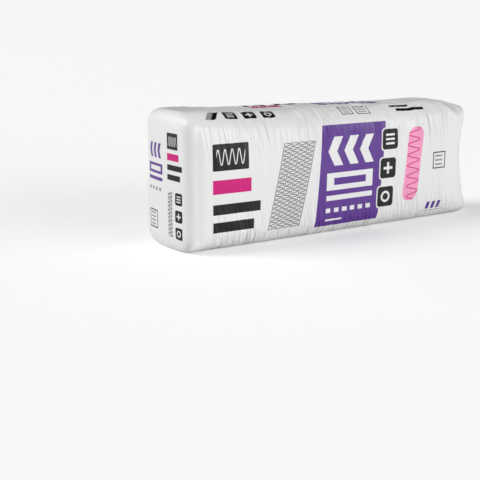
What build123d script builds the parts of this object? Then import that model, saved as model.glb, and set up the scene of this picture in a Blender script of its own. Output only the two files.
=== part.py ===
# Bag of kraft faced fiberglass batts, folded once and packed side by side in a sealed film bag.
# The bag lies on its long narrow side. Millimetres, with X along the bag, Y through its depth
# and Z up. The origin is the middle of the footprint. Folds are at -X, the weld is at +X.
from build123d import *
from math import atan, cos, degrees, radians, sin, sqrt
import os

os.makedirs("parts", exist_ok=True)

# Bag, measured outside the film: it is fullest and highest beside the folds
bag_length = 1232.0
bag_height = 422.0
bag_depth = 302.0
waist_depth = 276.0
top_fall = 12.0
film_wall = 1.0

# Rounding of the long edges and of the smooth end
long_edge_round = 70.0
fold_end_round = 24.0
fold_end_corner = 50.0
fold_end_dome = 8.0
full_length = 150.0

# Welded end: the film runs round in a half ellipse to an upright weld at mid depth,
# which stands back between its two ears and under the sloping shoulder of the top
weld_run = 150.0
weld_hollow = 50.0
ankle_back = 22.5
belly_back = 44.0
foot_back = 30.0
foot_turn = 60.0
upper_ear_back = 38.0
shoulder_back = 222.0
shoulder_ease = 1.5
weld_width = 9.0
weld_thickness = 2.4
weld_end_gap = 48.0

# Batts as packed, each one folded once with its facing outward
batt_count = 13
kraft_thickness = 0.9
piece_clearance = 0.3
fold_slit = 1.2
film_slack = 0.8
side_slack = 4.0
fold_slack = 3.0
head_slack = 5.0
fold_corner_round = 48.0
fold_corner_growth = 0.5
open_corner_round = 70.0
open_end_slack = 60.0
shoulder_run = 90.0
shoulder_drop = 45.0

half_length = bag_length / 2
corner_x = fold_end_dome - half_length
full_x = corner_x + full_length
level_steps = (15, 30, 45, 60, 75, 90)


# Side of the bag or of a batt: straight beside the folds, then easing in to the waist
def side_line(x_start, x_waist, y_full, y_waist):
    ease = (x_waist - full_x) / 2
    flat = Line((x_start, y_full), (full_x, y_full))
    slim = Bezier((full_x, y_full), (full_x + ease, y_full), (x_waist - ease, y_waist), (x_waist, y_waist))
    return [flat, slim]


# Level outline of the bag: turn is the angle of the long edge there, back is how far the
# weld stands back from the lower ear, and inset shrinks the whole bag
def level_outline(turn, back, inset):
    drawn_in = 1 - cos(radians(turn))
    side = inset + (long_edge_round - inset) * drawn_in
    x_end = corner_x + inset + (fold_end_round - inset) * drawn_in
    y_full = bag_depth / 2 - side
    y_waist = waist_depth / 2 - side
    run = weld_run - inset
    x_waist = half_length - back - weld_run
    smooth_end = ThreePointArc((x_end, -y_full), (x_end - fold_end_dome, 0), (x_end, y_full))
    rear_turn = EllipticalCenterArc((x_waist, 0), run, y_waist, 0, arc_size=90)
    front_turn = EllipticalCenterArc((x_waist, 0), run, y_waist, 0, arc_size=-90)
    sides = side_line(x_end, x_waist, y_full, y_waist) + side_line(x_end, x_waist, -y_full, -y_waist)
    outline = make_face([smooth_end, rear_turn, front_turn] + sides)
    corners = outline.vertices().sort_by(Axis.X)[:2]
    return fillet(corners, fold_end_corner - inset)


# Levels lean with the top, which falls towards the weld
def at_height(z):
    lean = degrees(atan(top_fall / bag_length * z / bag_height))
    return Pos(-half_length, 0, z) * Rot(0, lean, 0) * Pos(half_length, 0, 0)


# Whole bag, or the space inside it, lofted through its levels from the floor up
def bag_shape(inset):
    low = long_edge_round
    high = bag_height - long_edge_round
    reach = long_edge_round - inset
    levels = []
    for turn in reversed(level_steps):
        foot = foot_back * max(0, (turn - foot_turn) / (90 - foot_turn)) ** 2
        ankle = ankle_back * max(0, 1 - turn / foot_turn) ** 2
        levels.append((low - reach * sin(radians(turn)), turn, foot + ankle))
    levels.append((low, 0, ankle_back))
    levels.append(((low * 2 + high) / 3, 0, belly_back))
    levels.append(((low + high * 2) / 3, 0, weld_hollow))
    levels.append((high, 0, upper_ear_back))
    for turn in level_steps:
        shoulder = (shoulder_back - upper_ear_back) * (1 - cos(radians(turn))) ** shoulder_ease
        levels.append((high + reach * sin(radians(turn)), turn, upper_ear_back + shoulder))
    shape = loft([at_height(z) * level_outline(turn, back, inset) for z, turn, back in levels])
    return split(shape, Plane.XY.offset(inset), keep=Keep.TOP)


# Weld: a thin upright fin that follows the end of the bag from ear to ear
def weld_fin():
    fin_height = bag_height - 2 * weld_end_gap
    room = Pos(half_length, 0, bag_height / 2) * Box(weld_run, weld_thickness, fin_height)
    return bag_shape(-weld_width) & room


def film_bag():
    return bag_shape(0) + weld_fin() - bag_shape(film_wall)


# One folded batt: its place in the stack, how thick its two legs are together, and how high
# and how long it can be inside the rounded bag
class Batt:
    def __init__(self, index):
        share = (2 * index + 1) / batt_count - 1
        room_full = bag_depth / 2 - side_slack
        room_waist = waist_depth / 2 - side_slack
        self.y_full, self.y_waist = share * room_full, share * room_waist
        self.half_full, self.half_waist = room_full / batt_count, room_waist / batt_count
        outer_full = abs(self.y_full) + self.half_full
        outer_waist = abs(self.y_waist) + self.half_waist

        past_corner = max(0, outer_full - bag_depth / 2 + fold_end_corner)
        corner = fold_end_corner - fold_slack
        self.fold_x = corner_x + fold_end_corner - sqrt(corner**2 - past_corner**2) + self.half_full

        past_full = outer_full - bag_depth / 2 + long_edge_round
        past_waist = outer_waist - waist_depth / 2 + long_edge_round
        self.past_round = max(0, past_full, past_waist)
        edge = long_edge_round - film_wall - film_slack
        self.lift = long_edge_round - sqrt(edge**2 - self.past_round**2)

        waist_room = waist_depth / 2 - film_wall - film_slack
        turn_x = half_length - weld_hollow - weld_run
        end_x = turn_x + (weld_run - film_wall - film_slack) * sqrt(1 - (outer_waist / waist_room) ** 2)
        self.open_x = min(end_x - film_slack, half_length - open_end_slack)

    # Plan of the fold and both legs, given half their thickness beside the fold and at the waist
    def plan(self, half_full, half_waist):
        waist_x = half_length - weld_hollow - weld_run
        low_full, high_full = self.y_full - half_full, self.y_full + half_full
        low_waist, high_waist = self.y_waist - half_waist, self.y_waist + half_waist
        fold_tip = (self.fold_x - half_full, self.y_full)
        turn = ThreePointArc((self.fold_x, low_full), fold_tip, (self.fold_x, high_full))
        low = side_line(self.fold_x, waist_x, low_full, low_waist)
        high = side_line(self.fold_x, waist_x, high_full, high_waist)
        open_low, open_high = (self.open_x, low_waist), (self.open_x, high_waist)
        end = Polyline((waist_x, low_waist), open_low, open_high, (waist_x, high_waist))
        return make_face([turn, end] + low + high)

    def inner_plan(self, skin):
        return self.plan(self.half_full - skin, self.half_waist - skin)

    # Side view that the plans are cut to: rounded corners and the slope of the shoulder
    def side_room(self):
        x_left = self.fold_x - self.half_full
        x_shoulder = half_length - shoulder_back - shoulder_run
        slope = top_fall / bag_length

        def top(x):
            return bag_height - head_slack - self.lift - slope * (x + half_length)

        points = [
            (x_left, self.lift),
            (self.open_x, self.lift),
            (self.open_x, top(self.open_x) - shoulder_drop),
            (x_shoulder, top(x_shoulder)),
            (x_left, top(x_left)),
        ]
        side = make_face(Polyline(*points, close=True))
        fold_round = fold_corner_round + fold_corner_growth * self.past_round
        side = fillet(side.vertices().sort_by(Axis.X)[:2], fold_round)
        side = fillet(side.vertices().sort_by(Axis.X)[-2:].sort_by(Axis.Y)[0], open_corner_round)
        return extrude(Plane.XZ * side, amount=bag_depth / 2, both=True)

    def cut_to_room(self, plan):
        return (extrude(plan, amount=bag_height) & self.side_room()).solids()

    def glass(self):
        skin = piece_clearance / 2 + kraft_thickness + piece_clearance
        return self.cut_to_room(self.inner_plan(skin) - self.plan(fold_slit / 2, fold_slit / 2))

    def facing(self):
        skin = piece_clearance / 2
        return self.cut_to_room(self.inner_plan(skin) - self.inner_plan(skin + kraft_thickness))


batts = [Batt(index) for index in range(batt_count)]
glass = [solid for batt in batts for solid in batt.glass()]
facings = [solid for batt in batts for solid in batt.facing()]
export_step(film_bag(), "parts/film_bag.step")
export_step(Compound(children=glass), "parts/fiberglass_batts.step")
export_step(Compound(children=facings), "parts/kraft_facings.step")
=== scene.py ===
# %% [markdown]
# # A bag of kraft faced fiberglass batts
# The real object is thirteen batts of glass wool, each faced with kraft paper and folded once,
# pressed together and wrapped in printed polyethylene film that is welded shut at one end.
# The batts and their facings come from the CAD frame as they are. The film is soft, so it is
# built again here as one crowned, wrinkled sheet of its own.

# %% Load the frame
from math import atan2, copysign, cos, degrees, exp, hypot, pi, radians, sin, sqrt

import bmesh
import bpy
from mathutils import Matrix, Vector, noise
from mathutils.bvhtree import BVHTree


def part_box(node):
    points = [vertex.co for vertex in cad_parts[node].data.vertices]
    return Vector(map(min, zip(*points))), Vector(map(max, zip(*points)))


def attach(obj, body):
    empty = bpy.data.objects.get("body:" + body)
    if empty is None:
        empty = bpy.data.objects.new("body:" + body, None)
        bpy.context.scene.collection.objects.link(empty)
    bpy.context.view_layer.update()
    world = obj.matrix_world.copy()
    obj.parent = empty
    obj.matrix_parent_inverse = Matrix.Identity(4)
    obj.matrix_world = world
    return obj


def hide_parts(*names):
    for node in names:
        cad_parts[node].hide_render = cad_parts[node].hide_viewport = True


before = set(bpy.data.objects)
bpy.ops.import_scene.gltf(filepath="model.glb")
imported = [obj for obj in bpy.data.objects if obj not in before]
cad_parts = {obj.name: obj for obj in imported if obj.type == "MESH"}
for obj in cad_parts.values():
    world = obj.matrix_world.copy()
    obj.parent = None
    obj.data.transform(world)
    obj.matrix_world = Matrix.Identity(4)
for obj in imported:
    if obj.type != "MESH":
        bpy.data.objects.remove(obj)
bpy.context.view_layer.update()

bag_low, bag_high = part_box("film_bag")

# %% [markdown]
# ## The camera
# The bag was photographed from in front of its smooth end, a little above the top. One camera
# was fitted to the outline of the bag, so its place, its direction and its slight roll are known
# in the frame of the CAD model. The lens follows from the same fit.

# %% Camera
camera = bpy.data.objects.new("camera", bpy.data.cameras.new("camera"))
bpy.context.scene.collection.objects.link(camera)
camera_place = (-1.7017, -2.2615, 0.6396)
camera_lens = 62.37
camera_roll = radians(0.258)
view_direction = Vector((0.49895, 0.83306, -0.23885)).normalized()
level_right = view_direction.cross((0, 0, 1)).normalized()
sight_right = Matrix.Rotation(camera_roll, 3, view_direction) @ level_right
sight_up = sight_right.cross(view_direction)
turn = Matrix((sight_right, sight_up, -view_direction)).transposed()
camera.matrix_world = Matrix.Translation(camera_place) @ turn.to_4x4()
camera.data.lens = camera_lens
camera.data.clip_end = 200
bpy.context.scene.camera = camera
print("camera at", [round(v, 3) for v in camera.location], "lens", camera.data.lens)

# %% [markdown]
# ## Floor and light
# A product picture like this is lit by large soft lights on a white sweep. One light from the
# upper left brightens the smooth end and its rim, and two from the front brighten the long face.
# The upright corner between them faces neither side, so a darker band shows there. Little but
# the left light reaches the top, which stays greyer. The strengths were found by rendering each
# light alone and fitting their sum to the greys of the picture. The floor is a pale grey that
# glows a little, for the camera only, so that it looks like the white sweep.

# %% Floor
floor_reach = 60
floor_grey, floor_lift = 0.66, 0.44

floor_mesh = bmesh.new()
bmesh.ops.create_grid(floor_mesh, x_segments=1, y_segments=1, size=floor_reach)
floor = bpy.data.objects.new("floor", bpy.data.meshes.new("floor"))
floor_mesh.to_mesh(floor.data)
floor_mesh.free()
bpy.context.scene.collection.objects.link(floor)

floor_paint = bpy.data.materials.new("floor_paint")
floor_paint.use_nodes = True
floor_shader = floor_paint.node_tree.nodes["Principled BSDF"]
floor_shader.inputs["Base Color"].default_value = (floor_grey, floor_grey, floor_grey, 1)
floor_shader.inputs["Roughness"].default_value = 0.9
floor_shader.inputs["Emission Color"].default_value = (1, 1, 1, 1)
floor_nodes = floor_paint.node_tree
floor_glow = floor_nodes.nodes.new("ShaderNodeMath")
floor_glow.operation = "MULTIPLY"
floor_glow.inputs[1].default_value = floor_lift
seen_floor = floor_nodes.nodes.new("ShaderNodeLightPath").outputs["Is Camera Ray"]
floor_nodes.links.new(seen_floor, floor_glow.inputs[0])
floor_nodes.links.new(floor_glow.outputs[0], floor_shader.inputs["Emission Strength"])
floor.data.materials.append(floor_paint)


# %% Lights
light_spread = radians(34)
sky_at_rim, sky_overhead, seen_sky_white = 0.02, 0.015, 0.925


def wide_light(name, place, strength):
    """A soft light from far away, that shines from its place towards the origin."""
    light = bpy.data.objects.new(name, bpy.data.lights.new(name, "SUN"))
    light.location = place
    light.rotation_euler = (-Vector(place)).to_track_quat("-Z", "Y").to_euler()
    light.data.energy = strength
    light.data.angle = light_spread
    bpy.context.scene.collection.objects.link(light)


wide_light("left_light", (-0.745, 0.28, 0.60), 2.70)
wide_light("front_light", (0.30, -0.94, 0.15), 1.95)
wide_light("right_front_light", (0.65, -0.75, 0.15), 1.36)
wide_light("rear_left_light", (-0.60, 0.75, 0.25), 0.55)
studio = bpy.data.worlds.new("studio")
studio.use_nodes = True
sky = studio.node_tree
sky_direction = sky.nodes.new("ShaderNodeSeparateXYZ")
sky.links.new(sky.nodes.new("ShaderNodeTexCoord").outputs["Generated"], sky_direction.inputs[0])
sky_fall = sky.nodes.new("ShaderNodeMapRange")
for socket, value in zip(sky_fall.inputs[1:], (0.0, 0.9, sky_at_rim, sky_overhead)):
    socket.default_value = value
sky.links.new(sky_direction.outputs["Z"], sky_fall.inputs[0])
seen_sky = sky.nodes.new("ShaderNodeMix")
seen_sky.inputs[3].default_value = seen_sky_white
sky.links.new(sky.nodes.new("ShaderNodeLightPath").outputs["Is Camera Ray"], seen_sky.inputs[0])
sky.links.new(sky_fall.outputs[0], seen_sky.inputs[2])
sky.links.new(seen_sky.outputs[0], sky.nodes["Background"].inputs["Strength"])
sky.nodes["Background"].inputs["Color"].default_value = (1, 1, 1, 1)
bpy.context.scene.world = studio
bpy.context.scene.view_settings.view_transform = "Standard"

# %% [markdown]
# ## The form of the film bag
# Film under tension round soft batts is full at the folds, flat along its faces and drawn in
# towards the weld. A closed box cut into a fine grid of squares gives an even net with no
# poles, like the cloth itself. Each of its points is then laid on the bag: a row of the grid
# becomes one level outline, and rows near the top and the floor roll over the long edges.

# %% Sizes of the bag, in metres
half_length = (bag_high.x - bag_low.x) / 2
bag_height = bag_high.z - bag_low.z
half_depth, half_waist = 0.151, 0.138
edge_round, end_round, end_corner, end_dome = 0.070, 0.032, 0.036, 0.008
end_x = end_dome - half_length
full_x = end_x + 0.150
weld_run = 0.150
ankle_back, belly_back, hollow_back, ear_back = 0.0225, 0.044, 0.050, 0.038
foot_back, shoulder_back = 0.030, 0.222
top_fall = 0.012
floor_side, weld_side = 0.004, half_length - 0.10
cuts_long, cuts_deep, cuts_high = 200, 20, 36
dome_steps, corner_steps, side_steps, round_steps = 12, 16, 60, 40
cap_step = 19


# %% One level outline of the bag
def along(points, start, stop, count):
    """Points spaced evenly by their distance along part of a line of points."""
    line = points[start : stop + 1]
    reach = [0.0]
    for a, b in zip(line, line[1:]):
        reach.append(reach[-1] + (b - a).length)
    spaced, at = [], 0
    for step in range(count + 1):
        want = reach[-1] * step / count
        while at < len(line) - 2 and reach[at + 1] < want:
            at += 1
        share = (want - reach[at]) / max(reach[at + 1] - reach[at], 1e-9)
        spaced.append(line[at].lerp(line[at + 1], min(share, 1)))
    return spaced


def half_outline(edge_turn, back):
    """Half a level outline, from the middle of the smooth end round to the weld."""
    drawn_in = 1 - cos(edge_turn)
    side = edge_round * drawn_in
    y_full, y_waist = half_depth - side, half_waist - side
    x_end = end_x + end_round * drawn_in
    dome_round = (y_full**2 + end_dome**2) / (2 * end_dome)
    dome_x = x_end - end_dome + dome_round
    corner_y = y_full - end_corner
    corner_x = dome_x - sqrt((dome_round - end_corner) ** 2 - corner_y**2)
    lean = pi / 2 - (Vector((corner_x - dome_x, corner_y)).angle(Vector((0, 1))))
    points = []
    for step in range(dome_steps + 1):
        swing = lean * step / dome_steps
        points.append(Vector((dome_x - dome_round * cos(swing), dome_round * sin(swing))))
    for step in range(1, corner_steps + 1):
        swing = lean + (pi / 2 - lean) * step / corner_steps
        points.append(Vector((corner_x - end_corner * cos(swing), corner_y + end_corner * sin(swing))))
    corner_mark = dome_steps + corner_steps // 2
    x_waist = half_length - back - weld_run
    points.append(Vector((full_x, y_full)))
    for step in range(1, side_steps + 1):
        t = step / side_steps
        bulge = 1.5 * t * (1 - t) + t**3
        eased = t * t * (3 - 2 * t)
        x, y = full_x + (x_waist - full_x) * bulge, y_full + (y_waist - y_full) * eased
        points.append(Vector((x, y)))
    waist_mark = len(points) - 1
    for step in range(1, round_steps + 1):
        swing = pi / 2 * (1 - step / round_steps)
        points.append(Vector((x_waist + weld_run * cos(swing), y_waist * sin(swing))))
    weld_mark = waist_mark + cap_step
    half = cuts_deep // 2
    ring = along(points, 0, corner_mark, half)[:-1]
    ring += along(points, corner_mark, weld_mark, cuts_long)[:-1]
    ring += along(points, weld_mark, len(points) - 1, half)
    return ring


# %% The levels from the floor up
def weld_back(rise):
    """How far the weld stands back between its two ears, rise from 0 to 1."""
    known = ((0, ankle_back), (1 / 3, belly_back), (2 / 3, hollow_back), (1, ear_back))
    total = 0
    for at, back in known:
        share = 1
        for other, _ in known:
            if other != at:
                share *= (rise - other) / (at - other)
        total += share * back
    return total


def level(row):
    """Height, turn of the long edge and weld set-back of one row of the grid."""
    arc = edge_round * pi / 2
    upright = bag_height - 2 * edge_round
    reach = (2 * arc + upright) * row / cuts_high
    if reach < arc:
        edge_turn = pi / 2 * (1 - reach / arc)
        foot = foot_back * max(0, edge_turn / (pi / 6) - 2) ** 2
        ankle = ankle_back * max(0, 1 - edge_turn / (pi / 3)) ** 2
        return edge_round * (1 - sin(edge_turn)), edge_turn, foot + ankle
    if reach <= arc + upright:
        return edge_round + reach - arc, 0, weld_back((reach - arc) / upright)
    edge_turn = pi / 2 * (reach - arc - upright) / arc
    back = ear_back + (shoulder_back - ear_back) * (1 - cos(edge_turn)) ** 1.5
    return bag_height - edge_round * (1 - sin(edge_turn)), edge_turn, back


rings = []
for row in range(cuts_high + 1):
    z, edge_turn, back = level(row)
    rings.append((z, half_outline(edge_turn, back)))
print("levels", len(rings), "points in half a level", len(rings[0][1]))


# %% A box of squares, laid on the bag
def ring_point(i, j, k):
    """A point on the upright sides, or on the rim of the top or the bottom."""
    half = cuts_deep // 2
    aside = abs(j - half)
    if i == 0:
        at = aside
    elif i == cuts_long:
        at = 2 * half + cuts_long - aside
    else:
        at = half + i
    z, ring = rings[k]
    x, y = ring[at]
    return Vector((x, y if j > half else -y, z))


def cap_point(i, j, k):
    """A point inside the top or the bottom, drawn between the four sides of its rim."""
    u, v = i / cuts_long, j / cuts_deep
    across = ring_point(0, j, k).lerp(ring_point(cuts_long, j, k), u)
    along_it = ring_point(i, 0, k).lerp(ring_point(i, cuts_deep, k), v)
    front = ring_point(0, 0, k).lerp(ring_point(cuts_long, 0, k), u)
    rear = ring_point(0, cuts_deep, k).lerp(ring_point(cuts_long, cuts_deep, k), u)
    return across + along_it - front.lerp(rear, v)


film = bmesh.new()
bmesh.ops.create_cube(film, size=1)
for axis, cuts in enumerate((cuts_long, cuts_deep, cuts_high)):
    lines = [e for e in film.edges if abs((e.verts[0].co - e.verts[1].co)[axis]) > 0.9]
    bmesh.ops.subdivide_edges(film, edges=lines, cuts=cuts - 1, use_grid_fill=True)
for vert in film.verts:
    i = round((vert.co.x + 0.5) * cuts_long)
    j = round((vert.co.y + 0.5) * cuts_deep)
    k = round((vert.co.z + 0.5) * cuts_high)
    on_rim = i in (0, cuts_long) or j in (0, cuts_deep)
    laid = ring_point(i, j, k) if on_rim else cap_point(i, j, k)
    laid.z *= 1 - top_fall / bag_height * (laid.x + half_length) / (2 * half_length)
    vert.co = laid
print("bag net", len(film.verts), "points", len(film.faces), "squares")

# %% [markdown]
# ## Pressing the film outwards
# The batts push back against the film, so the real faces are slightly crowned and the film is
# drawn tight over the corners. Cloth with air pressure finds the form of that crown. The film
# starts a little too small, and the floor side and the weld are held. The air makes a far fuller
# bag than the batts do, so all its moves are scaled down until the longest one is the reach.


# %% Tight film
def pressed(film, shrink=0.002, reach=0.004, frames=16):
    """Moves the film to where the cloth wants it, scaled to the reach."""
    film.normal_update()
    start = [vert.co.copy() for vert in film.verts]
    small = [vert.co - vert.normal * shrink for vert in film.verts]
    for vert, place in zip(film.verts, small):
        vert.co = place
    bag = bpy.data.objects.new("pressed_film", bpy.data.meshes.new("pressed_film"))
    film.to_mesh(bag.data)
    bpy.context.scene.collection.objects.link(bag)
    held = bag.vertex_groups.new(name="held")
    low = [v.index for v in bag.data.vertices if v.co.z < floor_side]
    weld = [v.index for v in bag.data.vertices if abs(v.co.y) < 0.002 and v.co.x > weld_side]
    stay = set(low + weld)
    held.add(list(stay), 1, "REPLACE")
    cloth = bag.modifiers.new("film", "CLOTH")
    cloth.settings.quality = 4
    cloth.settings.mass = 0.15
    cloth.settings.tension_stiffness = 25
    cloth.settings.compression_stiffness = 25
    cloth.settings.shear_stiffness = 8
    cloth.settings.bending_stiffness = 0.8
    cloth.settings.use_pressure = True
    cloth.settings.uniform_pressure_force = 4
    cloth.settings.effector_weights.gravity = 0
    cloth.settings.vertex_group_mass = "held"
    cloth.point_cache.frame_end = frames
    for frame_number in range(1, frames + 1):
        bpy.context.scene.frame_set(frame_number)
    found = bag.evaluated_get(bpy.context.evaluated_depsgraph_get()).to_mesh()
    moves = [point.co - place for point, place in zip(found.vertices, small)]
    longest = max(move.length for move in moves)
    for vert, place, move in zip(film.verts, start, moves):
        pressed_place = place + move * (reach / longest) - vert.normal * shrink / 4
        vert.co = place if vert.index in stay else pressed_place
    bpy.data.objects.remove(bag)
    bpy.context.scene.frame_set(1)
    print("longest press", round(longest, 4))


film.verts.ensure_lookup_table()
film.verts.index_update()
pressed(film)
print("bag pressed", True)

# %% [markdown]
# ## Finer net, then the wrinkles
# Tension in thin film shows as fine straight wrinkles that run across the bag, strongest where
# it is bent over the long edges and faint at mid height. They are real folds one or two
# millimetres deep, so they are moved into the mesh. Each move is a smooth noise that is stretched
# in one direction, and a mask says where it is strong. The facets beside the ears and the places
# where the batts fill the film more are moves without noise, up to about 14 mm. The long faces
# fall back a few millimetres to the upright corners of the smooth end.

# %% One subdivision
net = bpy.data.objects.new("net", bpy.data.meshes.new("net"))
film.to_mesh(net.data)
film.free()
bpy.context.scene.collection.objects.link(net)
finer = net.modifiers.new("finer", "SUBSURF")
finer.levels = finer.render_levels = 1
smooth_net = bpy.data.meshes.new_from_object(net.evaluated_get(bpy.context.evaluated_depsgraph_get()))
bpy.data.objects.remove(net)
film = bmesh.new()
film.from_mesh(smooth_net)
film.normal_update()
print("finer net", len(film.faces), "squares")


# %% Where the wrinkles are
weld_x, turn_x = half_length - 0.03, half_length - 0.045 - weld_run
mid_wrinkles = 0.06


def ease(value, low, high):
    """Goes smoothly from 0 at low to 1 at high."""
    share = min(max((value - low) / (high - low), 0), 1)
    return share * share * (3 - 2 * share)


def hump(value, centre, width):
    return exp(-(((value - centre) / width) ** 2))


def stretch_mask(spot):
    """Strength of the cross wrinkles: over the long edges, faint at mid height, none at the ends."""
    up = spot.z / bag_height
    near_top = ease(up, 0.52, 0.88)
    near_floor = ease(up, 0.45, 0.08) * 0.9
    patch = 0.85 + 0.7 * noise.noise(Vector((spot.x * 4, spot.y * 2 + 7, spot.z * 3)))
    off_smooth_end = ease(spot.x, end_x + 0.03, end_x + 0.11)
    off_weld = ease(spot.x, half_length - 0.03, half_length - 0.14)
    return (mid_wrinkles + near_top + near_floor) * max(patch, 0.1) * (off_smooth_end * off_weld)


def ear_fan(spot, height):
    """Folds that fan out over the end from one end of the weld, and die away along the faces."""
    run = hypot(weld_x - spot.x, spot.y)
    swing = (spot.z - height) / max(run, 0.015)
    fold = noise.noise(Vector((swing * 5, run * 5, height * 9)))
    fold += 0.6 * noise.noise(Vector((swing * 11 + 4, run * 5, height * 9)))
    return fold * ease(run, 0.004, 0.05) * ease(run, 0.26, 0.09) * hump(spot.z, height, 0.085)


# %% Facets beside the ears
def ear_facet(spot):
    """A chord across the round end, from a crease near the long face to where it stops. The
    angles are degrees round the end, 0 at the weld and 90 at the long face."""
    swing = degrees(atan2(abs(spot.y) / half_waist, (spot.x - turn_x) / weld_run))
    crease = 83 - 12 * ease(spot.z, 0.37, 0.25)
    stop = 56 - 12 * ease(spot.z, 0.33, 0.355)
    share = min(max((crease - swing) / (crease - stop), 0), 1)
    deepest = 0.55 + 0.45 * ease(spot.z, 0.32, 0.36)
    upper = ease(spot.z, 0.215, 0.315) * ease(spot.z, 0.415, 0.395) * deepest
    lower = 0.4 * ease(spot.z, 0.150, 0.075) * ease(spot.z, 0.010, 0.035)
    sunk = 4 * share * (1 - share) * (upper + lower)
    return 0.14 * hump(swing, crease + 2, 4) * upper - sunk


# %% Places where the batts fill the film more than the plain form, in metres
low_end_fill, low_rear_fill, rear_fill, front_corner_fill = 0.0065, 0.0065, 0.0065, 0.006
arch_fill, shoulder_fill, head_fill, ear_fill, low_tip_fill = 0.004, 0.0065, 0.005, 0.014, 0.008


def fuller(spot, out):
    """How far the soft batts push the film out: over the lower edge, the rear corner, the front
    corner and the arch of the smooth end, over the shoulder, and at both tips of the weld end."""
    left, right = max(-out.x, 0), max(out.x, 0)
    down, up = max(-out.z, 0), max(out.z, 0)
    low_end = 2 * left * down * (low_end_fill + low_rear_fill * ease(spot.y, -0.10, 0.06))
    rear_corner = rear_fill * max(0.6 * out.y - 0.8 * out.x, 0) ** 3
    rear_corner = rear_corner * ease(spot.z, 0.27, 0.10) * ease(spot.z, -0.05, 0.09)
    front_corner = front_corner_fill * (2 * left * max(-out.y, 0)) ** 2
    arch = arch_fill * 2 * left * up
    crown = shoulder_fill * hump(spot.x, 0.42, 0.07) + head_fill * hump(spot.x, -0.55, 0.12)
    crown = crown * ease(out.z, 0.1, 0.6)
    ear_tip = ear_fill * 2.6 * right**2 * up * ease(spot.z, 0.345, 0.385) * ease(spot.x, 0.48, 0.54)
    low_tip = low_tip_fill * 2 * right * down * ease(spot.x, 0.40, 0.52)
    return low_end + rear_corner + front_corner + arch + crown + ear_tip + low_tip


# %% Wrinkle the film
cross_depth, swell_depth, fan_depth, facet_depth = 0.0026, 0.0012, 0.0026, 0.0090
front_corner_fall, rear_corner_fall = 0.0080, 0.0020
cross_fine, cross_coarse, cross_lean, swell_scale = 95, 44, 0.18, 6
weld_end_from, top_ear, low_ear = 0.25, bag_height - 0.065, 0.055

for vert in film.verts:
    spot, out = vert.co.copy(), vert.normal
    slant = spot.x + cross_lean * spot.z
    cross = noise.noise(Vector((slant * cross_fine, spot.y * 6, spot.z * 6)))
    cross += 0.8 * noise.noise(Vector((slant * cross_coarse + 5, spot.y * 4, spot.z * 4)))
    move = cross_depth * cross * stretch_mask(spot)
    facing_side = 1 - out.x**2
    swell = noise.noise(Vector((spot.x * swell_scale + 3, spot.y * swell_scale, spot.z * swell_scale)))
    move += swell_depth * swell * facing_side + fuller(spot, out)
    if spot.x > weld_end_from:
        turned = ease(abs(spot.y), 0.01, 0.05)
        move += fan_depth * (ear_fan(spot, top_ear) + ear_fan(spot, low_ear)) * turned
        move += facet_depth * ear_facet(spot)
    if spot.z < floor_side:
        move = 0
    vert.co = spot + out * move
    beside_end = ease(spot.x, end_x + 0.055, end_x + 0.002) * ease(abs(spot.y), 0.07, 0.13)
    fall = front_corner_fall if spot.y < 0 else rear_corner_fall
    vert.co.y -= copysign(fall, spot.y) * beside_end * ease(abs(out.z), 0.8, 0.2)
    vert.co.z = max(vert.co.z, 0.0)
print("wrinkled", len(film.verts), "points")

# %% [markdown]
# ## Film over the batts
# Film can't pass through what it wraps. From a little outside each point of the film, and each
# middle of its squares, a ray looks back along the normal for the batts and facings. The nearest
# point of them is looked up too, which finds their edges between two rays. A point that is too
# near is pushed out, smoothed once and looked at again.

# %% Keep clear of the batts
film_clearance, look_from, off_floor = 0.0018, 0.03, 0.003
clear_passes = 3

packed_points, packed_faces = [], []
for name in ("fiberglass_batts", "kraft_facings"):
    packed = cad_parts[name].data
    packed_faces += [tuple(len(packed_points) + i for i in p.vertices) for p in packed.polygons]
    packed_points += [v.co.copy() for v in packed.vertices]
inside = BVHTree.FromPolygons(packed_points, packed_faces)


def too_near(spot, out):
    """How much further out a point of the film has to be."""
    far = inside.ray_cast(spot + out * look_from, -out, 2 * look_from)[3]
    if far is not None and far - look_from < film_clearance:
        return film_clearance + look_from - far
    found = inside.find_nearest(spot, film_clearance)[3]
    return 0 if found is None else film_clearance - found


def keep_clear(film):
    """Pushes out each point that is too near the batts, and returns the points that it moved."""
    film.normal_update()
    pushed = {}
    for face in film.faces:
        middle = face.calc_center_median()
        if middle.z < off_floor:
            continue
        push = too_near(middle, face.normal)
        if push > 0:
            for vert in face.verts:
                pushed[vert] = max(pushed.get(vert, 0), push)
    for vert in film.verts:
        if vert.co.z > off_floor:
            push = too_near(vert.co, vert.normal)
            if push > pushed.get(vert, 0):
                pushed[vert] = push
    for vert, push in pushed.items():
        vert.co += vert.normal * push
        vert.co.z = max(vert.co.z, 0)
    return list(pushed)


for passing in range(clear_passes):
    pushed = keep_clear(film)
    print("pass", passing, "pushed", len(pushed), "points of the film")
    if passing < clear_passes - 1:
        bmesh.ops.smooth_vert(
            film, verts=pushed, factor=0.5, use_axis_x=True, use_axis_y=True, use_axis_z=True
        )

# %% [markdown]
# ## The weld
# The tube of film is closed by a hot bar that leaves a flat upright fin about as wide as a
# thumb nail. It is made from the bag itself: the edges down the middle of the end are opened
# into a narrow strip, and the strip is pulled outwards and pinched thin.

# %% Weld fin
weld_low, weld_high = 0.048, bag_height - 0.062
weld_width, weld_wall, weld_ripple = 0.009, 0.0016, 0.0016


def on_weld(edge):
    a, b = edge.verts
    spot = (a.co + b.co) / 2
    in_line = max(abs(a.co.y), abs(b.co.y)) < 0.0012
    return in_line and spot.x > weld_side and weld_low < spot.z < weld_high


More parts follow.
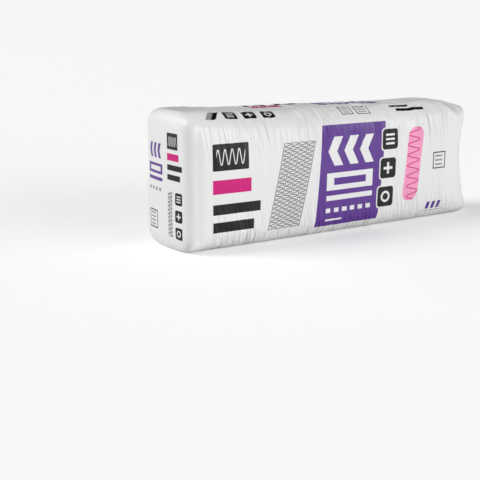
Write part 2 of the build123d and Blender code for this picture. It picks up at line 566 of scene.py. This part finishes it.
weld_line = [edge for edge in film.edges if on_weld(edge)]
opened = bmesh.ops.bevel(
    film, geom=weld_line, offset=weld_wall, offset_type="OFFSET", affect="EDGES",
    segments=1, profile=0.5, material=-1,
)
strip = [f for f in opened["faces"] if f.normal.x > 0.5 and abs(f.calc_center_median().y) < 0.001]
pulled = bmesh.ops.extrude_face_region(film, geom=strip)
fin_rim = [v for v in pulled["geom"] if isinstance(v, bmesh.types.BMVert)]
bmesh.ops.delete(film, geom=strip, context="FACES_ONLY")
for vert in fin_rim:
    share = (vert.co.z - weld_low) / (weld_high - weld_low)
    fade = ease(share, -0.02, 0.05) * ease(share, 1.02, 0.95)
    vert.co.x += weld_width * fade
    vert.co.y *= 0.75
    vert.co.y += weld_ripple * noise.noise(Vector((vert.co.z * 45, 0, 0))) * fade
bmesh.ops.recalc_face_normals(film, faces=film.faces[:])
for face in film.faces:
    face.smooth = True
print("weld edges", len(weld_line), "strip", len(strip))

# %% The film bag as a piece
film_bag = bpy.data.objects.new("printed_film_bag", bpy.data.meshes.new("printed_film_bag"))
film.to_mesh(film_bag.data)
film.free()
bpy.context.scene.collection.objects.link(film_bag)
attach(film_bag, "root")
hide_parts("film_bag")
print("film bag", len(film_bag.data.polygons), "faces")

# %% [markdown]
# ## Helpers for node materials
# A finish is a small graph of nodes. These helpers make a node, set its plain values and link
# the rest, so that each finish below reads as a list of steps.


# %% Node helpers
def node(tree, kind, values=(), **settings):
    made = tree.nodes.new("ShaderNode" + kind)
    for name, value in settings.items():
        setattr(made, name, value)
    for socket, value in zip(made.inputs, values):
        fill(tree, socket, value)
    return made


def fill(tree, socket, value):
    if value is None:
        return
    if isinstance(value, bpy.types.NodeSocket):
        tree.links.new(value, socket)
    else:
        socket.default_value = value


def calc(tree, operation, *values):
    return node(tree, "Math", values, operation=operation).outputs[0]


def ramp(tree, value, low, high, to_low=0.0, to_high=1.0):
    made = node(tree, "MapRange", (value, low, high, to_low, to_high), interpolation_type="SMOOTHSTEP")
    return made.outputs[0]


def blend_colours(tree, mask, under, over):
    made = tree.nodes.new("ShaderNodeMix")
    made.data_type = "RGBA"
    for name, value in (("Factor", mask), ("A", under), ("B", over)):
        kind = "VALUE" if name == "Factor" else "RGBA"
        socket = next(s for s in made.inputs if s.name == name and s.type == kind)
        fill(tree, socket, value)
    return next(s for s in made.outputs if s.type == "RGBA")


def new_group(name, inputs, outputs):
    group = bpy.data.node_groups.new(name, "ShaderNodeTree")
    for label, kind in inputs:
        group.interface.new_socket(label, in_out="INPUT", socket_type="NodeSocket" + kind)
    for label, kind in outputs:
        group.interface.new_socket(label, in_out="OUTPUT", socket_type="NodeSocket" + kind)
    entry, leaving = group.nodes.new("NodeGroupInput"), group.nodes.new("NodeGroupOutput")
    return group, entry.outputs, leaving.inputs


def use_group(tree, group, values):
    made = tree.nodes.new("ShaderNodeGroup")
    made.node_tree = group
    for name, value in values.items():
        fill(tree, made.inputs[name], value)
    return made.outputs


def new_material(name):
    made = bpy.data.materials.new(name)
    made.use_nodes = True
    shader = made.node_tree.nodes["Principled BSDF"]
    spot = made.node_tree.nodes.new("ShaderNodeTexCoord").outputs["Object"]
    return made, made.node_tree, shader, spot


# %% [markdown]
# ## Printed shapes
# The print is ink on the film, so it has no thickness and is made of masks. Three groups are
# enough: a bar with rounded corners that may lean, a disc, and a looped line like the sign that
# drawings use for batt insulation. Each takes a place on the face in metres.

# %% Bar, disc and loop masks
edge_blur = 0.0009

bar_mask, bar_in, bar_out = new_group(
    "printed_bar",
    [("Across", "Float"), ("Up", "Float"), ("Middle across", "Float"), ("Middle up", "Float"),
     ("Half width", "Float"), ("Half height", "Float"), ("Lean", "Float"), ("Round", "Float")],
    [("Mask", "Float")],
)
off_up = calc(bar_mask, "SUBTRACT", bar_in["Up"], bar_in["Middle up"])
off_across = calc(bar_mask, "SUBTRACT", bar_in["Across"], bar_in["Middle across"])
off_across = calc(bar_mask, "SUBTRACT", off_across, calc(bar_mask, "MULTIPLY", off_up, bar_in["Lean"]))
past_side = calc(bar_mask, "SUBTRACT", calc(bar_mask, "ABSOLUTE", off_across), bar_in["Half width"])
past_top = calc(bar_mask, "SUBTRACT", calc(bar_mask, "ABSOLUTE", off_up), bar_in["Half height"])
past_side = calc(bar_mask, "ADD", past_side, bar_in["Round"])
past_top = calc(bar_mask, "ADD", past_top, bar_in["Round"])
corner = node(bar_mask, "CombineXYZ", (
    calc(bar_mask, "MAXIMUM", past_side, 0.0),
    calc(bar_mask, "MAXIMUM", past_top, 0.0),
))
far = node(bar_mask, "VectorMath", (corner.outputs[0],), operation="LENGTH").outputs["Value"]
near = calc(bar_mask, "MINIMUM", calc(bar_mask, "MAXIMUM", past_side, past_top), 0.0)
gap = calc(bar_mask, "SUBTRACT", calc(bar_mask, "ADD", far, near), bar_in["Round"])
bar_mask.links.new(ramp(bar_mask, gap, edge_blur / 2, -edge_blur / 2), bar_out["Mask"])

disc_mask, disc_in, disc_out = new_group(
    "printed_disc",
    [("Across", "Float"), ("Up", "Float"), ("Middle across", "Float"), ("Middle up", "Float"),
     ("Radius", "Float")],
    [("Mask", "Float")],
)
off = node(disc_mask, "CombineXYZ", (
    calc(disc_mask, "SUBTRACT", disc_in["Across"], disc_in["Middle across"]),
    calc(disc_mask, "SUBTRACT", disc_in["Up"], disc_in["Middle up"]),
))
off = node(disc_mask, "VectorMath", (off.outputs[0],), operation="LENGTH").outputs["Value"]
gap = calc(disc_mask, "SUBTRACT", off, disc_in["Radius"])
disc_mask.links.new(ramp(disc_mask, gap, edge_blur / 2, -edge_blur / 2), disc_out["Mask"])

loop_mask, loop_in, loop_out = new_group(
    "printed_loops",
    [("Along", "Float"), ("Aside", "Float"), ("Pitch", "Float"), ("Swing", "Float"), ("Line", "Float")],
    [("Mask", "Float")],
)
turns = calc(loop_mask, "DIVIDE", loop_in["Along"], loop_in["Pitch"])
angle = calc(loop_mask, "MULTIPLY", turns, 2 * pi)
wave = calc(loop_mask, "MULTIPLY", calc(loop_mask, "SINE", angle), loop_in["Swing"])
swing_share = calc(loop_mask, "DIVIDE", loop_in["Swing"], loop_in["Pitch"])
slope = calc(loop_mask, "MULTIPLY", calc(loop_mask, "COSINE", angle), swing_share)
steep = calc(loop_mask, "MULTIPLY", slope, 2 * pi)
tilt = calc(loop_mask, "SQRT", calc(loop_mask, "ADD", calc(loop_mask, "MULTIPLY", steep, steep), 1.0))
off = calc(loop_mask, "ABSOLUTE", calc(loop_mask, "SUBTRACT", loop_in["Aside"], wave))
gap = calc(loop_mask, "SUBTRACT", calc(loop_mask, "DIVIDE", off, tilt), loop_in["Line"])
loop_mask.links.new(ramp(loop_mask, gap, edge_blur / 2, -edge_blur / 2), loop_out["Mask"])
print("printed shapes", [g.name for g in bpy.data.node_groups])

# %% [markdown]
# ## The print on one face
# The layers of ink are laid over each other in the order of a press: light colours first, dark
# ones last. A helper adds one shape in one ink over what is there already, so a face reads as a
# list of shapes.

# %% Inks
purple_ink = (0.11, 0.038, 0.27, 1)
magenta_ink = (0.60, 0.001, 0.18, 1)
pink_ink = (0.90, 0.33, 0.54, 1)
dark_ink = (0.004, 0.004, 0.004, 1)
grey_ink = (0.30, 0.30, 0.31, 1)
white_ink = (0.80, 0.80, 0.80, 1)


class Face:
    """The print on one face of the bag: across and up are metres from its lower left corner."""

    def __init__(self, name):
        wanted = [("Across", "Float"), ("Up", "Float"), ("Film", "Color")]
        self.group, self.place, self.result = new_group(name, wanted, [("Color", "Color")])
        self.colour = self.place["Film"]

    def lay(self, mask, ink):
        self.colour = blend_colours(self.group, mask, self.colour, ink)

    def bar(self, ink, left, low, right, high, lean=0.0, rounding=0.0005, only=None):
        mask = use_group(self.group, bar_mask, {
            "Across": self.place["Across"], "Up": self.place["Up"],
            "Middle across": (left + right) / 2, "Middle up": (low + high) / 2,
            "Half width": (right - left) / 2, "Half height": (high - low) / 2,
            "Lean": lean, "Round": rounding,
        })["Mask"]
        if only is not None:
            mask = calc(self.group, "MULTIPLY", mask, only)
        if ink is not None:
            self.lay(mask, ink)
        return mask

    def disc(self, ink, across, up, radius):
        self.lay(use_group(self.group, disc_mask, {
            "Across": self.place["Across"], "Up": self.place["Up"],
            "Middle across": across, "Middle up": up, "Radius": radius,
        })["Mask"], ink)

    def loops(self, ink, middle, pitch, swing, line, only, upright=False):
        along_it, aside = ("Up", "Across") if upright else ("Across", "Up")
        mask = use_group(self.group, loop_mask, {
            "Along": self.place[along_it],
            "Aside": calc(self.group, "SUBTRACT", self.place[aside], middle),
            "Pitch": pitch, "Swing": swing, "Line": line,
        })["Mask"]
        self.lay(calc(self.group, "MULTIPLY", mask, only), ink)

    def done(self):
        self.group.links.new(self.colour, self.result["Color"])
        return self.group


# %% Motifs that more than one face has
def tile(face, across, up, half, mark):
    """A dark tile with a white rim and one plain mark."""
    face.bar(white_ink, across - half, up - half, across + half, up + half, rounding=half * 0.34)
    inner = half * 0.88
    face.bar(dark_ink, across - inner, up - inner, across + inner, up + inner, rounding=half * 0.28)
    mark_half, thin = half * 0.5, half * 0.12
    left, right = across - mark_half, across + mark_half
    if mark == "bars":
        for step in (-0.38, 0, 0.38):
            face.bar(white_ink, left, up + half * (step - 0.09), right, up + half * (step + 0.09))
    elif mark == "cross":
        face.bar(white_ink, left, up - thin, right, up + thin)
        face.bar(white_ink, across - thin, up - mark_half, across + thin, up + mark_half)
    else:
        face.disc(white_ink, across, up, half * 0.5)
        face.disc(dark_ink, across, up, half * 0.3)


def wool_field(face, left, low, right, high, pitch, rows, lean):
    """A pale grey field with grey studs, all leaning. Gives its mask and the pitch of the studs."""
    frame_of = face.bar(None, left, low, right, high, lean=lean)
    face.lay(calc(face.group, "MULTIPLY", frame_of, 0.22), grey_ink)
    step = (right - left) / rows
    for row in range(rows + 1):
        stud = left + row * step
        face.bar(grey_ink, stud - step * 0.07, low, stud + step * 0.07, high, lean=lean)
    return frame_of, step


def ruled_box(face, left, low, right, high, lines):
    """A small box with rules in it, where a form would be filled in."""
    rim = (high - low) * 0.07
    face.bar(dark_ink, left, low, right, high)
    face.bar(white_ink, left + rim, low + rim, right - rim, high - rim)
    step = (high - low) / (lines + 1)
    for line in range(lines):
        middle = low + step * (line + 1)
        thick = step * 0.22
        face.bar(grey_ink, left + rim * 2.5, middle - thick, right - rim * 3.5, middle + thick)


# %% The long faces
front = Face("print_of_long_face")
unit = 0.42
front.bar(dark_ink, 0.205 * unit, 0.60 * unit, 0.50 * unit, 0.79 * unit, rounding=0.004)
window = front.bar(None, 0.235 * unit, 0.62 * unit, 0.47 * unit, 0.77 * unit)
front.loops(white_ink, 0.695 * unit, 0.058 * unit, 0.052 * unit, 0.0016, window)
front.bar(magenta_ink, 0.205 * unit, 0.435 * unit, 0.52 * unit, 0.535 * unit)
front.bar(dark_ink, 0.205 * unit, 0.285 * unit, 0.60 * unit, 0.36 * unit)
front.bar(dark_ink, 0.205 * unit, 0.155 * unit, 0.545 * unit, 0.23 * unit)

field, stud_step = wool_field(front, 0.74 * unit, 0.12 * unit, 1.02 * unit, 0.76 * unit, 0.05, 4, 0.22)
for stud in range(4):
    leaning = calc(front.group, "SUBTRACT", front.place["Up"], 0.44 * unit)
    shift = calc(front.group, "MULTIPLY", leaning, 0.22)
    straight = calc(front.group, "SUBTRACT", front.place["Across"], shift)
    middle = 0.74 * unit + (stud + 0.5) * stud_step
    mask = use_group(front.group, loop_mask, {
        "Along": front.place["Up"], "Aside": calc(front.group, "SUBTRACT", straight, middle),
        "Pitch": 0.0135, "Swing": stud_step * 0.33, "Line": 0.0011,
    })["Mask"]
    front.lay(calc(front.group, "MULTIPLY", mask, field), dark_ink)

panel = front.bar(purple_ink, 1.13 * unit, 0.085 * unit, 1.76 * unit, 0.865 * unit, lean=0.07)
for step in range(3):
    left = (1.24 + 0.155 * step) * unit
    front.bar(white_ink, left, 0.555 * unit, left + 0.085 * unit, 0.665 * unit, lean=-0.55)
    front.bar(white_ink, left, 0.665 * unit, left + 0.085 * unit, 0.775 * unit, lean=0.55)
front.bar(white_ink, 1.20 * unit, 0.365 * unit, 1.66 * unit, 0.50 * unit)
front.bar(purple_ink, 1.27 * unit, 0.405 * unit, 1.59 * unit, 0.46 * unit)
front.bar(white_ink, 1.20 * unit, 0.285 * unit, 1.66 * unit, 0.325 * unit)
for step in range(6):
    left = (1.20 + 0.08 * step) * unit
    front.bar(white_ink, left, 0.19 * unit, left + 0.045 * unit, 0.225 * unit)
front.bar(white_ink, 1.20 * unit, 0.125 * unit, 1.36 * unit, 0.14 * unit)

for up, mark in ((0.72, "bars"), (0.49, "cross"), (0.26, "ring")):
    tile(front, (1.82 + 0.07 * (up - 0.5)) * unit, up * unit, 0.092 * unit, mark)

wool = front.bar(pink_ink, 2.01 * unit, 0.20 * unit, 2.17 * unit, 0.80 * unit, lean=0.1, rounding=0.030)
front.loops(magenta_ink, 2.09 * unit, 0.085 * unit, 0.062 * unit, 0.0017, wool, upright=True)
ruled_box(front, 2.31 * unit, 0.44 * unit, 2.45 * unit, 0.58 * unit, 3)
for step in range(3):
    left = (2.26 + 0.06 * step) * unit
    front.bar(purple_ink, left, 0.105 * unit, left + 0.035 * unit, 0.165 * unit, lean=0.3)
front.bar(grey_ink, 2.24 * unit, 0.085 * unit, 2.47 * unit, 0.09 * unit)
front_print = front.done()

# %% The smooth end
end = Face("print_of_smooth_end")
end.bar(dark_ink, 0.425 * unit, 0.745 * unit, 0.575 * unit, 0.86 * unit, rounding=0.003)
window = end.bar(None, 0.44 * unit, 0.76 * unit, 0.56 * unit, 0.845 * unit)
end.loops(white_ink, 0.80 * unit, 0.03 * unit, 0.03 * unit, 0.0011, window)
end.bar(magenta_ink, 0.425 * unit, 0.665 * unit, 0.585 * unit, 0.715 * unit)
end.bar(dark_ink, 0.425 * unit, 0.595 * unit, 0.625 * unit, 0.635 * unit)
end.bar(dark_ink, 0.425 * unit, 0.525 * unit, 0.60 * unit, 0.565 * unit)
for step in range(3):
    left = (0.135 + 0.07 * step) * unit
    end.bar(purple_ink, left, 0.66 * unit, left + 0.038 * unit, 0.715 * unit, lean=-0.4)
    end.bar(purple_ink, left, 0.715 * unit, left + 0.038 * unit, 0.77 * unit, lean=0.4)
end.bar(purple_ink, 0.10 * unit, 0.545 * unit, 0.345 * unit, 0.62 * unit)
end.bar(white_ink, 0.13 * unit, 0.565 * unit, 0.315 * unit, 0.60 * unit)
end.bar(purple_ink, 0.10 * unit, 0.495 * unit, 0.345 * unit, 0.52 * unit)
for step in range(4):
    left, right = (0.11 + 0.06 * step) * unit, (0.145 + 0.06 * step) * unit
    end.bar(grey_ink, left, 0.42 * unit, right, 0.445 * unit)
for up, mark in ((0.40, "bars"), (0.275, "cross"), (0.15, "ring")):
    tile(end, 0.58 * unit, up * unit, 0.05 * unit, mark)
field = end.bar(None, 0.43 * unit, 0.11 * unit, 0.50 * unit, 0.44 * unit)
end.lay(calc(end.group, "MULTIPLY", field, 0.3), grey_ink)
end.loops(dark_ink, 0.465 * unit, 0.012, 0.026 * unit, 0.0011, field, upright=True)
ruled_box(end, 0.12 * unit, 0.13 * unit, 0.26 * unit, 0.27 * unit, 4)
end_print = end.done()

# %% The narrow long faces
top = Face("print_of_narrow_face")
top.bar(grey_ink, 0.085, 0.028, 0.120, 0.076, lean=0.5)
top.bar(dark_ink, 0.104, 0.028, 0.120, 0.076, lean=0.5)
for step, mark in enumerate(("bars", "cross", "ring")):
    tile(top, 0.165 + 0.068 * step, 0.052, 0.026, mark)
ruled_box(top, 0.580, 0.026, 0.628, 0.082, 3)
ruled_box(top, 0.642, 0.026, 0.700, 0.082, 3)
top.bar(dark_ink, 0.800, 0.062, 0.880, 0.078)
top.bar(dark_ink, 0.815, 0.032, 0.935, 0.050)
top.bar(magenta_ink, 0.300, 0.150, 0.420, 0.185)
top.bar(dark_ink, 0.300, 0.205, 0.520, 0.235)
top.bar(purple_ink, 0.560, 0.150, 0.830, 0.240)
top.bar(white_ink, 0.590, 0.175, 0.800, 0.215)
top_print = top.done()
print("faces printed", [front_print.name, end_print.name, top_print.name])

# %% [markdown]
# ## The film
# White polyethylene film is smooth and slightly glossy. Its finest wrinkles are only a few
# millimetres apart, so they are a bump. A noise that is stretched along the wrinkles drives them,
# strong over the long edges and faint at mid height, like the folds in the mesh, and it dulls the
# gloss a little where they are.

# %% Film wrinkle group
stretched, stretched_in, stretched_out = new_group(
    "stretched_film",
    [("Place", "Vector"), ("Fine", "Float"), ("Height share", "Float")],
    [("Height", "Float"), ("Dull", "Float")],
)
parts = node(stretched, "SeparateXYZ", (stretched_in["Place"],)).outputs
slant = calc(stretched, "MULTIPLY_ADD", parts["Z"], 0.16, parts["X"])
pulled_place = node(stretched, "CombineXYZ", (
    calc(stretched, "MULTIPLY", slant, stretched_in["Fine"]),
    calc(stretched, "MULTIPLY", parts["Y"], 7.0),
    calc(stretched, "MULTIPLY", parts["Z"], 7.0),
)).outputs[0]
fine = node(stretched, "TexNoise", (pulled_place, None, 1.0, 1.6, 0.5), noise_dimensions="3D")
fine = fine.outputs["Fac"]
near_top = ramp(stretched, stretched_in["Height share"], 0.52, 0.90)
near_floor = ramp(stretched, stretched_in["Height share"], 0.45, 0.06, 0.0, 0.85)
strength = calc(stretched, "ADD", calc(stretched, "ADD", near_top, near_floor), mid_wrinkles)
patches = node(stretched, "TexNoise", (stretched_in["Place"],)).outputs["Fac"]
strength = calc(stretched, "MULTIPLY", strength, ramp(stretched, patches, 0.30, 0.65, 0.35, 1.0))
off_end = ramp(stretched, parts["X"], end_x + 0.03, end_x + 0.10)
off_weld = ramp(stretched, parts["X"], half_length - 0.02, half_length - 0.12, 0.35, 1.0)
strength = calc(stretched, "MULTIPLY", strength, calc(stretched, "MULTIPLY", off_end, off_weld))
stretched.links.new(calc(stretched, "MULTIPLY", fine, strength), stretched_out["Height"])
stretched.links.new(strength, stretched_out["Dull"])

# %% Printed film
printed_film, tree, shader, spot = new_material("printed_film")
parts = node(tree, "SeparateXYZ", (spot,)).outputs
facing = node(tree, "SeparateXYZ", (node(tree, "NewGeometry").outputs["Normal"],)).outputs
film_white = (0.80, 0.80, 0.80, 1)
fine_wrinkles, bump_depth, film_ior = 115.0, 0.010, 1.38
smooth_end_from = -0.62

from_left = calc(tree, "ADD", parts["X"], half_length)
from_right = calc(tree, "SUBTRACT", half_length, parts["X"])
on_rear = calc(tree, "GREATER_THAN", parts["Y"], 0.0)
across = node(tree, "Mix", (on_rear, None, from_left, from_right)).outputs[0]
front_place = {"Across": across, "Up": parts["Z"], "Film": film_white}
colour = use_group(tree, front_print, front_place)["Color"]

from_rear = calc(tree, "SUBTRACT", half_depth, parts["Y"])
from_edge = calc(tree, "MINIMUM", parts["Z"], calc(tree, "SUBTRACT", bag_height, parts["Z"]))
over_edge = calc(tree, "SUBTRACT", calc(tree, "ADD", parts["Y"], half_depth), from_edge)
under = calc(tree, "LESS_THAN", parts["Z"], edge_round)
from_front = calc(tree, "MULTIPLY_ADD", under, -0.055, calc(tree, "ADD", over_edge, 0.03))
end_place = {"Across": from_rear, "Up": parts["Z"], "Film": film_white}
end_colour = use_group(tree, end_print, end_place)["Color"]
top_place = {"Across": from_left, "Up": from_front, "Film": film_white}
top_colour = use_group(tree, top_print, top_place)["Color"]

on_end = calc(tree, "LESS_THAN", facing["X"], smooth_end_from)
on_weld_end = ramp(tree, facing["X"], 0.60, 0.80)
level_face = calc(tree, "GREATER_THAN", from_front, 0.0)
level_face = calc(tree, "MULTIPLY", level_face, calc(tree, "LESS_THAN", from_edge, edge_round))
colour = blend_colours(tree, level_face, colour, top_colour)
colour = blend_colours(tree, on_end, colour, end_colour)
colour = blend_colours(tree, on_weld_end, colour, film_white)
tree.links.new(colour, shader.inputs["Base Color"])

film_lines = use_group(tree, stretched, {
    "Place": spot, "Fine": fine_wrinkles, "Height share": calc(tree, "DIVIDE", parts["Z"], bag_height),
})
film_bump = node(tree, "Bump")
film_bump.inputs["Strength"].default_value = 1.0
film_bump.inputs["Distance"].default_value = bump_depth
tree.links.new(film_lines["Height"], film_bump.inputs["Height"])
tree.links.new(film_bump.outputs[0], shader.inputs["Normal"])
tree.links.new(ramp(tree, film_lines["Dull"], 0.0, 1.0, 0.30, 0.42), shader.inputs["Roughness"])
shader.inputs["IOR"].default_value = film_ior
film_bag.data.materials.append(printed_film)
print("film nodes", len(tree.nodes))

# %% [markdown]
# ## Glass wool and kraft paper
# Inside the bag the batts keep their CAD shape and get their real finish. Glass wool is a mat of
# fine pale fibres, and kraft paper is brown with a soft grain that runs along the roll.

# %% Fibre group
fibres, fibres_in, fibres_out = new_group(
    "fibres",
    [("Place", "Vector"), ("Scale", "Float"), ("Stretch", "Float")],
    [("Fibre", "Float"), ("Cloud", "Float")],
)
parts = node(fibres, "SeparateXYZ", (fibres_in["Place"],)).outputs
drawn = node(fibres, "CombineXYZ", (
    parts["X"],
    calc(fibres, "MULTIPLY", parts["Y"], fibres_in["Stretch"]),
    calc(fibres, "MULTIPLY", parts["Z"], fibres_in["Stretch"]),
)).outputs[0]
fibre_noise = node(fibres, "TexNoise", noise_dimensions="3D")
fibres.links.new(drawn, fibre_noise.inputs["Vector"])
fibres.links.new(fibres_in["Scale"], fibre_noise.inputs["Scale"])
fibre_noise.inputs["Detail"].default_value = 6
fibre_noise.inputs["Distortion"].default_value = 0.6
cloud_noise = node(fibres, "TexNoise", noise_dimensions="3D")
fibres.links.new(fibres_in["Place"], cloud_noise.inputs["Vector"])
cloud_noise.inputs["Scale"].default_value = 14
fibres.links.new(fibre_noise.outputs["Fac"], fibres_out["Fibre"])
fibres.links.new(cloud_noise.outputs["Fac"], fibres_out["Cloud"])


# %% The two inner finishes
def fibrous(name, dark, light, cloud, scale, stretch, roughness, depth):
    material, tree, shader, spot = new_material(name)
    found = use_group(tree, fibres, {"Place": spot, "Scale": scale, "Stretch": stretch})
    colour = blend_colours(tree, ramp(tree, found["Fibre"], 0.35, 0.65), dark, light)
    colour = blend_colours(tree, ramp(tree, found["Cloud"], 0.45, 0.75, 0.0, 0.5), colour, cloud)
    tree.links.new(colour, shader.inputs["Base Color"])
    rough = ramp(tree, found["Fibre"], 0.2, 0.8, roughness + 0.06, roughness - 0.06)
    tree.links.new(rough, shader.inputs["Roughness"])
    bump = node(tree, "Bump")
    bump.inputs["Strength"].default_value = 0.7
    bump.inputs["Distance"].default_value = depth
    tree.links.new(found["Fibre"], bump.inputs["Height"])
    tree.links.new(bump.outputs[0], shader.inputs["Normal"])
    return material


wool_colours = (0.62, 0.50, 0.24, 1), (0.86, 0.78, 0.50, 1), (0.78, 0.66, 0.36, 1)
paper_colours = (0.25, 0.15, 0.075, 1), (0.40, 0.26, 0.14, 1), (0.31, 0.19, 0.10, 1)
glass_wool = fibrous("glass_wool", *wool_colours, scale=260, stretch=3.0, roughness=0.9, depth=0.002)
kraft_paper = fibrous(
    "kraft_paper", *paper_colours, scale=420, stretch=0.4, roughness=0.72, depth=0.0003
)
for name, finish in (("fiberglass_batts", glass_wool), ("kraft_facings", kraft_paper)):
    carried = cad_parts[name]
    for slot in carried.material_slots:
        slot.material = finish
    print(name, "wears", finish.name)
